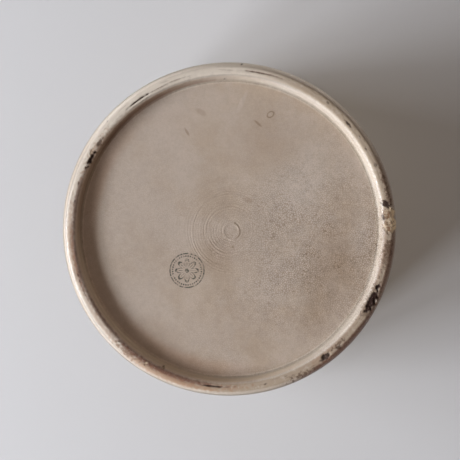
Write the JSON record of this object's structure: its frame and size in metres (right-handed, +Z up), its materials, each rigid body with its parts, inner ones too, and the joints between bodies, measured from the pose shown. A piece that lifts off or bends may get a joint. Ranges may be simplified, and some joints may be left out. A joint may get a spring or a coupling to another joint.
{
  "type": "lidded storage pot",
  "caption": "Round glazed earthenware pot with a hollow foot ring, a rolled lip with a tie groove, and a loose domed lid with a turned knob.",
  "frame": {"origin": "centre of the foot's flat crest, on the surface that the pot stands on", "axes": "+Z up along the axis that both pieces were turned about, from the foot to the knob; +X and +Y are free, since the outline is round"},
  "size_m": [0.1338, 0.1338, 0.1486],
  "materials": {
    "pot_glaze": "old cream glaze, crazed and stained, satin to glossy, with bare biscuit on the foot's crest and in its chips",
    "lid_glaze": "old cream glaze, crazed, satin to glossy"
  },
  "bodies": {
    "pot": {"pot_body": "pot_glaze"},
    "lid": {"lid": "lid_glaze"}
  },
  "joints": [
    {"name": "lid_lift", "type": "slide", "parent": "pot", "child": "lid", "axis": [0, 0, 1], "range_m": [0, 0.12]}
  ]
}
